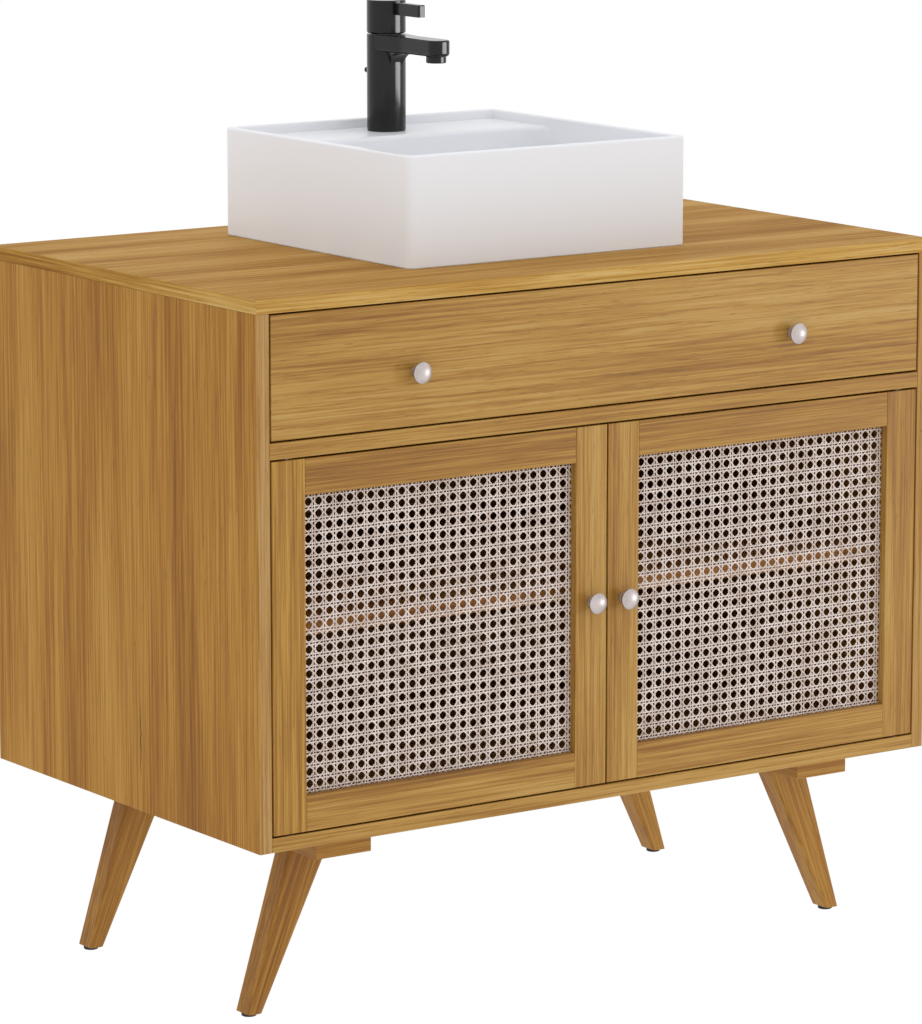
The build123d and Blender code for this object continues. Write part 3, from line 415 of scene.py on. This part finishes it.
class Webbing:
    """Six-way cane webbing that fills a panel: paired uprights and levels, and diagonals both ways."""

    def __init__(self, node, rng):
        self.low, self.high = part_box(node)
        self.middle_x = (self.low.x + self.high.x) / 2
        self.middle_z = (self.low.z + self.high.z) / 2
        self.plane_y = (self.low.y + self.high.y) / 2 + THICK / 2
        self.columns = int((self.high.x - self.low.x) / 2 / PITCH) + 1
        self.rows = int((self.high.z - self.low.z) / 2 / PITCH) + 1
        self.rng = rng
        self.points = []
        self.faces = []

    def add_strand(self, path, across, width):
        """A domed ribbon along a path; across is the ribbon's direction in the panel's plane."""
        first = len(self.points)
        corners = len(DOME)
        for x, y, z in path:
            for share, proud in DOME:
                side = width * share
                self.points.append((x + across[0] * side, y - proud * THICK, z + across[1] * side))
        for i in range(len(path) - 1):
            a = first + corners * i
            b = a + corners
            for j in range(corners):
                k = (j + 1) % corners
                self.faces.append((a + j, a + k, b + k, b + j))
        last = first + corners * (len(path) - 1)
        self.faces.append((first + 3, first + 2, first + 1, first))
        self.faces.append((last, last + 1, last + 2, last + 3))

    def straight_width(self):
        return STRAND * self.rng.uniform(*STRAIGHT_WIDTHS)

    def add_uprights(self):
        places = crossings(self.low.z, self.high.z, self.middle_z)
        for step in range(-self.columns, self.columns + 1):
            for side in (-1, 1):
                x = self.middle_x + step * PITCH + side * PAIR
                if self.low.x + STRAND / 2 < x < self.high.x - STRAND / 2:
                    path = [(x, self.plane_y - rise * side * WEAVE, z) for z, rise in places]
                    self.add_strand(path, (1, 0), self.straight_width())

    def add_levels(self):
        places = crossings(self.low.x, self.high.x, self.middle_x)
        for step in range(-self.rows, self.rows + 1):
            for side in (-1, 1):
                z = self.middle_z + step * PITCH + side * PAIR
                if self.low.z + STRAND / 2 < z < self.high.z - STRAND / 2:
                    path = [(x, self.plane_y + rise * side * WEAVE, z) for x, rise in places]
                    self.add_strand(path, (0, -1), self.straight_width())

    def diagonal_ends(self, slope, offset):
        """The lowest and highest x of z = middle_z + slope * (x - middle_x) + offset in the panel."""
        edge = STRAND / 2
        levels = (self.low.z + edge, self.high.z - edge)
        x_at = sorted(self.middle_x + (z - offset - self.middle_z) / slope for z in levels)
        return max(self.low.x + edge, x_at[0]), min(self.high.x - edge, x_at[1])

    def diagonal_path(self, slope, offset, x0, x1):
        """Points a quarter of a pitch apart, which rise over one crossing and dip under the next."""
        quarter = PITCH / 4
        first = math.ceil((x0 - self.middle_x) / quarter)
        last = int((x1 - self.middle_x) / quarter)
        inner = [self.middle_x + i * quarter for i in range(first, last + 1)]
        gap = CLOSEST * quarter
        path = []
        for x in [x0] + [x for x in inner if x0 + gap < x < x1 - gap] + [x1]:
            along = x - self.middle_x
            rise = -slope * math.cos(2 * math.pi * along / PITCH)
            z = self.middle_z + slope * along + offset
            path.append((x, self.plane_y - rise * DIAGONAL, z))
        return path

    def add_diagonals(self):
        reach = self.columns + self.rows + 1
        slant = math.sqrt(0.5)
        for slope in (-1, 1):
            for step in range(-reach, reach + 1):
                offset = (step + 0.5) * PITCH
                x0, x1 = self.diagonal_ends(slope, offset)
                if x1 - x0 < PITCH / 2:
                    continue
                path = self.diagonal_path(slope, offset, x0, x1)
                width = STRAND * self.rng.uniform(*DIAGONAL_WIDTHS)
                self.add_strand(path, (slant, -slope * slant), width)

    def mesh(self, name):
        mesh = bpy.data.meshes.new(name)
        mesh.from_pydata(self.points, [], self.faces)
        mesh.update()
        for polygon in mesh.polygons:
            polygon.use_smooth = True
        return mesh


def woven_cane(name, node, body, rng):
    """The strands that stand in for a door's cane sheet, on that door."""
    webbing = Webbing(node, rng)
    webbing.add_uprights()
    webbing.add_levels()
    webbing.add_diagonals()
    piece = bpy.data.objects.new(name, webbing.mesh(name))
    bpy.context.scene.collection.objects.link(piece)
    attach(piece, body)
    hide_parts(node)
    return piece


# ---- materials on the CAD nodes -----------------------------------------------------------
def paint(material, *names):
    for name in names:
        mesh = NODES[name].data
        mesh.materials.clear()
        mesh.materials.append(material)


LEG_TOP = 34 * MM                      # a leg's width at its top
leg_low, leg_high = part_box("front_left_leg")
LEG_LEAN = math.atan2((leg_high.x - leg_low.x) - LEG_TOP, leg_high.z - leg_low.z)

# How each board differs from the ramp's colours: red, green and blue factors. They are partly the boards'
# own colour and partly painted light: the top, the top's edges and the fronts are paler and bluer than the
# sides, a painted sheen where they face the light.
TOP_SHEEN_TINT = (1.09, 1.28, 2.00)
TOP_EDGE_SHEEN_TINT = (1.06, 1.28, 1.90)
SIDE_TINT = (0.86, 0.85, 0.74)
# the side panels' edges get a paler, bluer tint: a painted highlight where they face the light
SIDE_EDGE_HIGHLIGHT_TINT = (0.82, 0.92, 1.50)
# the fronts' tint is partly painted sheen: paler and bluer than the sides' tint
FRONT_SHEEN_TINT = (0.86, 0.96, 1.15)
STILE_TINT = (1.08, 1.28, 1.40)
LEG_TINT = (0.80, 0.80, 0.70)
SHELF_TINT = (1.05, 0.92, 1.15)
INSIDE = (0.7, 0.7, 0.7)

TOP_GLOSS = 0.005
DRAWER_RINGS = 0.10
SPLIT = (-0.022, 0.235, 0.325)      # depth, and lowest and highest point, of the left side's hairline
SIDE_LOOK = {"knots": 0.8, "tint": SIDE_TINT, "broad": X, "edge_light_tint": SIDE_EDGE_HIGHLIGHT_TINT, "gloss": 0.1}
NICKEL_LOOK = {"wear": 0.03, "grain": (90, 90, 90), "bump": 0.00001}
CHROME_LOOK = {"wear": 0.02, "bump": 0.00001}

paint(wood("wood_top", X, 1.0, ends=Y, tint=TOP_SHEEN_TINT, edge_light_tint=TOP_EDGE_SHEEN_TINT, gloss=TOP_GLOSS), "top_panel")
paint(wood("wood_left_side", Z, 2.3, split=SPLIT, **SIDE_LOOK), "left_side_panel")
paint(wood("wood_right_side", Z, 5.1, **SIDE_LOOK), "right_side_panel")
paint(wood("wood_drawer_front", X, 3.2, rings=DRAWER_RINGS, tint=FRONT_SHEEN_TINT), "drawer_front")
paint(wood("wood_rail", X, 4.4, tint=FRONT_SHEEN_TINT), "drawer_rail", "bottom_panel")
paint(wood("wood_stile_first", Z, 6.7, tint=STILE_TINT), "left_door_hinge_stile")
paint(wood("wood_stiles", Z, 8.9, tint=FRONT_SHEEN_TINT), "left_door_latch_stile", "right_door_hinge_stile")
paint(wood("wood_stile_last", Z, 4.1, tint=FRONT_SHEEN_TINT), "right_door_latch_stile")
paint(wood("wood_door_rails", X, 7.6, tint=FRONT_SHEEN_TINT), "left_door_rails", "right_door_rails")
paint(wood("wood_left_legs", Z, 9.4, lean=-LEG_LEAN, tint=LEG_TINT), "front_left_leg", "back_left_leg")
paint(wood("wood_right_legs", Z, 1.9, lean=LEG_LEAN, tint=LEG_TINT), "front_right_leg", "back_right_leg")
paint(wood("wood_leg_rails", Y, 2.8, ends=X, tint=LEG_TINT), "leg_rails")
paint(wood("wood_shelf", X, 4.9, tint=SHELF_TINT), "shelf")
paint(wood("wood_inside", X, 3.9, tint=INSIDE), "rear_rail", "back_panel", "drawer_back", "drawer_bottom")
paint(wood("wood_drawer_sides", Y, 5.7, tint=INSIDE), "drawer_sides", "drawer_well")
paint(wood("wood_beads", Z, 6.1, tint=INSIDE), "left_door_beads", "right_door_beads")
paint(ceramic_material(), "basin")
TAP_BLACK = ("tap_body", "tap_handle", "tap_base_ring", "tap_aerator", "pull_rod")
paint(black_material(), *TAP_BLACK)
paint(metal("satin_nickel", linear(200, 190, 187), 0.42, **NICKEL_LOOK), "drawer_knobs", "left_door_knob",
      "right_door_knob")
paint(metal("zinc_steel", linear(190, 190, 192), 0.38), "cam_fittings", "base_screws", "drawer_knob_screws",
      "left_door_fittings", "right_door_fittings", "tap_clamp_set", "shelf_pins")
paint(metal("slide_steel", linear(196, 197, 200), 0.32, grain=(500, 8, 500)), "cabinet_slide_members",
      "middle_slide_members", "drawer_slide_members")
paint(metal("bright_chrome", linear(224, 226, 228), 0.07, **CHROME_LOOK), "waste_body", "waste_nut",
      "waste_plug", "tailpiece", "pop_up_lever")
paint(metal("aged_brass", linear(104, 78, 42), 0.5), "tap_spindle", "door_pivot_bushes")
paint(plain("rubber", linear(20, 20, 20), linear(34, 34, 34), 0.7), "waste_gasket", "waste_washer",
      "foot_glides")
paint(plain("clear_sealant", linear(214, 212, 208), linear(224, 222, 218), 0.35), "basin_seal")
paint(plain("pale_plastic", linear(186, 186, 182), linear(200, 200, 196), 0.5), "magnetic_catches",
      "tap_cartridge")

rng = random.Random(7)
cane = cane_material()
for side in ("left", "right"):
    weave = woven_cane(f"{side}_cane_weave", f"{side}_door_cane", f"{side}_door", rng)
    weave.data.materials.append(cane)


# ---- studio -------------------------------------------------------------------------------
class Softbox(NamedTuple):
    """A rectangular soft light: metres and watts."""

    place: tuple
    target: tuple
    width: float
    height: float
    power: float


KEY = Softbox((2.95, -2.9, 0.30), (0.3, -0.25, 0.6), 1.0, 1.2, 40.0)
TAP_STRIP = Softbox((2.45, -2.85, 0.75), (0.0, 0.16, 0.9), 2.2, 1.5, 125.0)
FLOOR_HALF = 30.0                      # metres, large enough to have no edge in view
FLOOR_CORNERS = ((-1, -1), (1, -1), (1, 1), (-1, 1))

CAMERA_PLACE = (-3.099, -4.450, 1.453)
CAMERA_YAW = 34.77                     # degrees to the right of +Y
CAMERA_PITCH = -10.27
SENSOR = 36.0                          # millimetres
LENS = 177.4
CLIP_END = 100.0


def studio_floor():
    """A lit white floor."""
    mesh = bpy.data.meshes.new("studio_floor")
    corners = [(x * FLOOR_HALF, y * FLOOR_HALF, 0) for x, y in FLOOR_CORNERS]
    mesh.from_pydata(corners, [], [(0, 1, 2, 3)])
    floor = bpy.data.objects.new("studio_floor", mesh)
    bpy.context.scene.collection.objects.link(floor)
    g = Graph("lit_floor")
    glow = g.add("Emission")
    g.join(glow.outputs["Emission"], g.tree.nodes["Material Output"].inputs["Surface"])
    mesh.materials.append(g.material)


def add_softbox(name, box, lit_pieces):
    """A soft light that looks at its target and lights only the given pieces."""
    data = bpy.data.lights.new(name, "AREA")
    data.shape = "RECTANGLE"
    data.size = box.width
    data.size_y = box.height
    data.energy = box.power
    lamp = bpy.data.objects.new(name, data)
    lamp.location = box.place
    lamp.rotation_mode = "QUATERNION"
    lamp.rotation_quaternion = (Vector(box.target) - Vector(box.place)).to_track_quat("-Z", "Y")
    bpy.context.scene.collection.objects.link(lamp)
    lit = bpy.data.collections.new(name + "_lights")
    for piece in lit_pieces:
        lit.objects.link(piece)
    lamp.light_linking.receiver_collection = lit


def studio_light():
    """Even white surroundings, a key light for all but the basin and tap, and one for the tap."""
    world = bpy.data.worlds.new("studio")
    world.use_nodes = True
    background = world.node_tree.nodes["Background"]
    background.inputs["Color"].default_value = (1.0, 1.0, 1.0, 1.0)
    bpy.context.scene.world = world
    black = [NODES[name] for name in TAP_BLACK]
    own_light = black + [NODES["basin"]]
    rest = [piece for piece in bpy.data.objects if piece.type == "MESH" and piece not in own_light]
    add_softbox("key", KEY, rest)
    add_softbox("tap_strip", TAP_STRIP, black)


def camera():
    """The photograph's viewpoint, with a long lens and no shift."""
    data = bpy.data.cameras.new("camera")
    data.sensor_width = SENSOR
    data.lens = LENS
    data.clip_end = CLIP_END
    eye = bpy.data.objects.new("camera", data)
    eye.location = CAMERA_PLACE
    eye.rotation_euler = (math.pi / 2 + math.radians(CAMERA_PITCH), 0.0, -math.radians(CAMERA_YAW))
    bpy.context.scene.collection.objects.link(eye)
    bpy.context.scene.camera = eye


studio_floor()
studio_light()
camera()
bpy.context.scene.view_settings.view_transform = "Standard"
